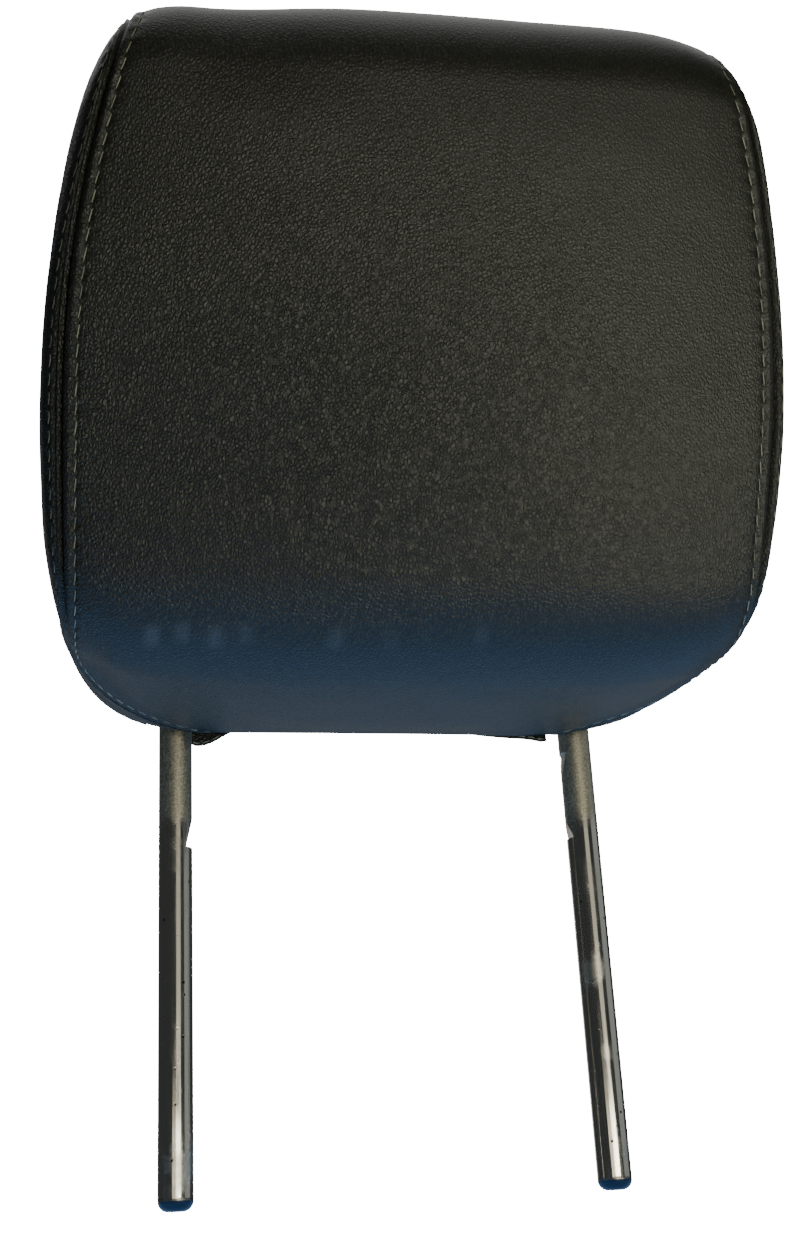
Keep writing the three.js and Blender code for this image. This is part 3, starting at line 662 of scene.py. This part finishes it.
def tube(centres, normals_at, radii, sides=6):
    """Vertices and faces of closed thread tubes, from centres and normals [stitch, step, 3]."""
    count, steps = centres.shape[:2]
    tangent = np.gradient(centres, axis=1)
    tangent /= np.linalg.norm(tangent, axis=2, keepdims=True)
    binormal = np.cross(tangent, normals_at)
    binormal /= np.linalg.norm(binormal, axis=2, keepdims=True)
    normal = np.cross(binormal, tangent)
    turn = np.linspace(0, 2 * math.pi, sides, endpoint=False)
    ring = normal[:, :, None] * np.cos(turn)[:, None] + binormal[:, :, None] * np.sin(turn)[:, None]
    verts = centres[:, :, None] + ring * radii[None, :, None, None]
    faces = []
    for k in range(count):
        base = k * steps * sides
        for i in range(steps - 1):
            for a in range(sides):
                b = (a + 1) % sides
                low, high = base + i * sides, base + (i + 1) * sides
                faces.append((low + a, low + b, high + b, high + a))
        faces.append(tuple(base + a for a in reversed(range(sides))))
        faces.append(tuple(base + (steps - 1) * sides + a for a in range(sides)))
    return verts.reshape(-1, 3), faces


def topstitch(side, distance):
    """Centres and normals of one row of stitches along a column of the grid."""
    column = column_at(distance, side)
    length = seam_length(column)[:cover_rows]
    count = int(length[-1] / STITCH_PITCH)
    start = (np.arange(count) + 0.5) * STITCH_PITCH - STITCH_LENGTH / 2
    t = np.linspace(0, 1, THREAD_STEPS)
    at = start[:, None] + t * STITCH_LENGTH
    line = surface[:cover_rows, column]
    up = normals[:cover_rows, column]
    centres = np.stack([np.interp(at, length, line[:, k]) for k in range(3)], -1)
    rise = np.stack([np.interp(at, length, up[:, k]) for k in range(3)], -1)
    rise /= np.linalg.norm(rise, axis=2, keepdims=True)
    run = np.gradient(centres, axis=1)
    run /= np.linalg.norm(run, axis=2, keepdims=True)
    sideways = np.cross(run, rise)
    arch = np.sin(math.pi * t) ** 0.5
    bow = 0.3 * np.sin(math.pi * t) if distance > 0 else 0.0 * t
    lean = side * ((0.5 - t) * 0.6 - bow)
    centres = centres + rise * (0.72 * arch - 0.42)[:, None] + sideways * lean[:, None]
    return centres, rise


tapers = THREAD_R * (0.55 + 0.45 * np.sin(math.pi * np.linspace(0, 1, THREAD_STEPS)) ** 0.5)
for label, side in (("left", -1), ("right", 1)):
    rows = [topstitch(side, distance) for distance in (-STITCH_OUT, STITCH_OUT)]
    verts, faces = tube(np.concatenate([r[0] for r in rows]), np.concatenate([r[1] for r in rows]), tapers)
    stitches = new_object(f"topstitching_{label}", place(verts), faces, thread)
    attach(stitches, "cushion")

# ---------- lips of the flap's front edge, hanging under the front hem ----------
HEM_Z = 162.6  # height of the front hem above the post ends
LIP_STEPS = 48
LIP_ROWS = 14
LIP_THICK = 1.1
LIP_TUCK = 3.5  # how far a lip reaches up behind the hem
LIP_PITCH = 3.4
LIPS = [  # x along the hem and how far the edge hangs below it
    ("left", [(-70.0, 4.2), (-68.4, 5.0), (-65.5, 4.6), (-62, 3.2), (-59.5, 1.6), (-57, 0.2), (-53, -1.5)]),
    ("right", [(24, -1.5), (30, 0.2), (37, 0.9), (44, 1.5), (50, 2.0), (55, 2.5),
               (59.5, 3.4), (61.5, 3.9), (62.2, 2.9)]),
]


def lip(label, edge):
    """A thin strip tucked under the hem, with a rolled lower edge and a row of small stitches along it."""
    xs = np.linspace(edge[0][0], edge[-1][0], LIP_STEPS)
    drop = np.interp(xs, [e[0] for e in edge], [e[1] for e in edge])
    drop = np.convolve(np.pad(drop, 2, "edge"), np.ones(5) / 5, "valid")
    down = np.linspace(0, 1, LIP_ROWS)[:, None]
    x = np.repeat(xs[None], LIP_ROWS, 0)
    z = HEM_Z + LIP_TUCK - down * (drop + LIP_TUCK)
    y = -8.6 + 0.5 * np.sin(xs / 5.5) * down - 0.6 * down ** 2
    outer = np.stack([x, y, z], -1)
    inner = outer + np.array([0, LIP_THICK, 0])
    inner[-1, :, 2] += 0.35
    outer[-1, :, 1] += 0.3
    pairs = [(i, i + 1) for i in range(LIP_ROWS - 1)]
    faces = [f[::-1] for f in grid_faces(LIP_STEPS, pairs, range(LIP_STEPS - 1))]
    piece = thick_sheet(f"leather_flap_lip_{label}", outer * MM, inner * MM, faces, leather)
    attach(piece, "cushion")
    count = int((xs[-1] - xs[0]) / LIP_PITCH)
    t = np.linspace(0, 1, THREAD_STEPS)
    at = (np.arange(count) + 0.5)[:, None] * LIP_PITCH + xs[0] + np.linspace(-1.25, 1.25, THREAD_STEPS)
    level = np.interp(at, xs, HEM_Z - drop) + 1.1
    front = np.interp(at, xs, outer[-2, :, 1]) + 0.06 - 0.2 * np.sin(math.pi * t) ** 0.5
    centres = np.stack([at, front, level], -1)
    shown = level.max(axis=1) < HEM_Z + 0.4
    facing = np.broadcast_to(np.array([0, -1.0, 0]), centres[shown].shape)
    verts, thread_faces = tube(centres[shown], facing, tapers * 0.8)
    stitches = new_object(f"lip_stitching_{label}", verts * MM, thread_faces, thread)
    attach(stitches, "cushion")


for label, edge in LIPS:
    lip(label, edge)

# ---------- the stay ----------
ROD_SIDES = 72
END_STEPS = 9  # rings round each post end
BEND_STEPS = 24
NOTCHES = [(-1, 122, 133, 2.3), (1, 124, 130, 1.4), (1, 157, 149, 1.3)]  # side, ledge, taper's end, depth


def notch_depth(side, z):
    """How far the inner side of a post is cut back at a height."""
    depth = 0.0
    for on, ledge, taper, deep in NOTCHES:
        if on != side:
            continue
        flat = ledge + math.copysign(1, taper - ledge)
        low, high = min(ledge, flat), max(ledge, flat)
        if low <= z <= high:
            depth = deep
        elif min(flat, taper) < z < max(flat, taper):
            depth = deep * (taper - z) / (taper - flat)
    return depth


def stay():
    """One bent rod: rings up the left post, over the crossbar and down the right post."""
    turn = np.linspace(0, 2 * math.pi, ROD_SIDES, endpoint=False)
    ledges = [z for _, ledge, _, _ in NOTCHES for z in (ledge - 0.02, ledge + 0.02)]
    heights = sorted(set(np.arange(TIP_R + 1, PIVOT_Z - BEND_R, 1.0).tolist() + ledges))
    rings = []
    for k in range(END_STEPS + 1):
        a = math.pi / 2 * k / END_STEPS
        rings.append((-POST_X, TIP_R * (1 - math.cos(a)), 0.0, ROD_R - TIP_R * (1 - math.sin(a))))
    rings += [(-POST_X, z, 0.0, ROD_R) for z in heights]
    for k in range(BEND_STEPS + 1):
        a = math.pi / 2 * k / BEND_STEPS
        rings.append((-POST_X + BEND_R * (1 - math.cos(a)), PIVOT_Z - BEND_R * (1 - math.sin(a)), a, ROD_R))
    verts = []
    for side in (-1, 1):
        part = []
        for x, z, a, radius in rings:
            u, v = radius * np.cos(turn), radius * np.sin(turn)
            limit = ROD_R - notch_depth(side, z) if a == 0 else ROD_R
            inward = np.minimum(u, limit)
            px = x + inward * math.cos(a)
            pz = z - inward * math.sin(a)
            part.append(np.stack([px * -side, v, pz], 1))
        verts += part if side < 0 else part[::-1]
    points_at = np.array(verts)
    count = len(points_at)
    faces = []
    for i in range(count - 1):
        for j in range(ROD_SIDES):
            k = (j + 1) % ROD_SIDES
            low, high = i * ROD_SIDES, (i + 1) * ROD_SIDES
            faces.append((low + j, low + k, high + k, high + j))
    faces.append(tuple(reversed(range(ROD_SIDES))))
    faces.append(tuple((count - 1) * ROD_SIDES + j for j in range(ROD_SIDES)))
    return points_at.reshape(-1, 3), faces


rod_points, rod_faces = stay()
rod = new_object("chromed_stay", rod_points * MM, rod_faces, rod_chrome, sharp=50)
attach(rod, "stay")
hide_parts("stay_rod")


# ---------- foam ----------
FOAM_VOXEL = 0.003
FOAM_INSET = 2.4  # kept this far under the CAD pad, clear of the leather's lining


def foam_piece():
    """The foam's own soft form: the CAD pad remeshed and rounded, with its core cavity and post slots."""
    piece = frame["nodes"]["foam_pad"].copy()
    piece.data = piece.data.copy()
    piece.name = "foam_body"
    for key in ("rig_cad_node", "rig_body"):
        if key in piece:
            del piece[key]
    piece.parent = None
    bpy.context.scene.collection.objects.link(piece)
    remesh = piece.modifiers.new("remesh", "REMESH")
    remesh.mode = "VOXEL"
    remesh.voxel_size = FOAM_VOXEL
    soften = piece.modifiers.new("soften", "SMOOTH")
    soften.iterations = 6
    soften.factor = 0.5
    bpy.context.view_layer.update()
    made = bpy.data.meshes.new_from_object(piece.evaluated_get(bpy.context.evaluated_depsgraph_get()))
    piece.modifiers.clear()
    piece.data = made
    made.shade_smooth()
    made.materials.clear()
    made.materials.append(slot_materials["foam"])
    here = np.array([v.co for v in made.vertices]) / MM
    facing = np.array([v.normal for v in made.vertices])
    c, s = math.cos(LEAN), math.sin(LEAN)
    up = (here[:, 2] - PIVOT_Z) * c - here[:, 1] * s
    sunk = settled_foam(here[:, 0], up) - FOAM_INSET
    made.vertices.foreach_set("co", ((here + facing * sunk[:, None]) * MM).astype(np.float32).ravel())
    return piece


foam = foam_piece()
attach(foam, "cushion")
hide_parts("foam_pad")

# ---------- floor, lights, camera ----------
FLOOR_Z = -0.12  # below the camera, which looks up from just under the height of the post ends
FLOOR_HALF = 2.6
LOW_LIGHT_Z = -0.056  # two lights face up from here
SKY_STRENGTH = 20.0
ROOM_STRENGTH = 0.04


def floor():
    """A plain square of floor, off the object."""
    mesh = bpy.data.meshes.new("floor")
    corners = [(x * FLOOR_HALF, y * FLOOR_HALF, FLOOR_Z) for x, y in ((-1, -1), (1, -1), (1, 1), (-1, 1))]
    mesh.from_pydata(corners, [], [(0, 1, 2, 3)])
    mesh.materials.append(principled("floor", (0.72, 0.73, 0.7), 0.9)[0])
    plane = bpy.data.objects.new("floor", mesh)
    bpy.context.scene.collection.objects.link(plane)


def area_light(name, place_at, target, size, power, color):
    """A rectangle of light that faces a target. The camera doesn't see it."""
    data = bpy.data.lights.new(name, "AREA")
    data.shape = "RECTANGLE"
    data.size, data.size_y = size
    data.energy = power
    data.color = color
    light = bpy.data.objects.new(name, data)
    light.location = place_at
    light.rotation_euler = (Vector(target) - Vector(place_at)).to_track_quat("-Z", "Y").to_euler()
    light.visible_camera = False
    bpy.context.scene.collection.objects.link(light)


def world():
    """White to the camera, and a dim cool room to everything else."""
    made = bpy.data.worlds.new("studio")
    bpy.context.scene.world = made
    made.use_nodes = True
    nodes, links = made.node_tree.nodes, made.node_tree.links
    nodes.clear()
    output = nodes.new("ShaderNodeOutputWorld")
    white, room = nodes.new("ShaderNodeBackground"), nodes.new("ShaderNodeBackground")
    white.inputs["Color"].default_value = (1, 1, 1, 1)
    white.inputs["Strength"].default_value = SKY_STRENGTH
    room.inputs["Color"].default_value = (0.8, 0.9, 1.0, 1)
    room.inputs["Strength"].default_value = ROOM_STRENGTH
    mix, path = nodes.new("ShaderNodeMixShader"), nodes.new("ShaderNodeLightPath")
    links.new(path.outputs["Is Camera Ray"], mix.inputs[0])
    links.new(room.outputs[0], mix.inputs[1])
    links.new(white.outputs[0], mix.inputs[2])
    links.new(mix.outputs[0], output.inputs[0])


def camera():
    """The photograph's viewing angle."""
    data = bpy.data.cameras.new("camera")
    data.sensor_fit = "HORIZONTAL"
    data.sensor_width = 36
    data.lens = 72.1
    data.clip_start = 0.01
    eye = bpy.data.objects.new("camera", data)
    eye.location = (-0.09503, -0.56777, -0.01397)
    eye.rotation_euler = Euler([math.radians(a) for a in (111.18, 2.92, -9.40)])
    bpy.context.scene.collection.objects.link(eye)
    bpy.context.scene.camera = eye


floor()
world()
camera()
# name, centre, facing point, size in metres, radiance, colour
LIGHTS = [
    ("low_key", (0.3, -1.35, 0.075), (0.0, -0.1, 0.075), (0.8, 0.08), 9.0, (1.0, 0.97, 0.84)),
    ("low_side", (-0.35, -1.3, 0.06), (0.0, -0.1, 0.08), (0.5, 0.12), 1.5, (1.0, 0.95, 0.82)),
    ("upper_key", (0.35, -1.35, 0.36), (0.0, -0.1, 0.3), (0.7, 0.38), 0.45, (1.0, 0.97, 0.86)),
    ("floor_glow", (0.3, -0.57, LOW_LIGHT_Z), (0.3, -0.57, 1.0), (0.62, 0.34), 4.8, (1.0, 0.98, 0.78)),
    ("blue_underlight", (0.0, 0.1, LOW_LIGHT_Z), (0.0, 0.1, 1.0), (1.0, 0.6), 1.1, (0.1, 0.42, 1.0)),
    ("overhead", (0.0, 0.9, 2.2), (0.0, 0.9, 0.0), (2.6, 2.2), 1.2, (1.0, 1.0, 0.98)),
    ("top_fill", (0.0, -0.5, 1.4), (0.0, -0.05, 0.3), (1.0, 0.6), 0.9, (1.0, 1.0, 0.95)),
    ("right_fill", (1.6, -0.3, 0.5), (0.0, 0.0, 0.2), (1.4, 1.0), 0.25, (0.85, 0.94, 1.0)),
    ("back_panel", (0.0, 2.2, 0.7), (0.0, 0.0, 0.2), (2.4, 1.5), 0.35, (1.0, 1.0, 1.0)),
]
for name, centre, target, size, radiance, color in LIGHTS:
    area_light(name, centre, target, size, radiance * math.pi * size[0] * size[1], color)

bpy.context.view_layer.update()
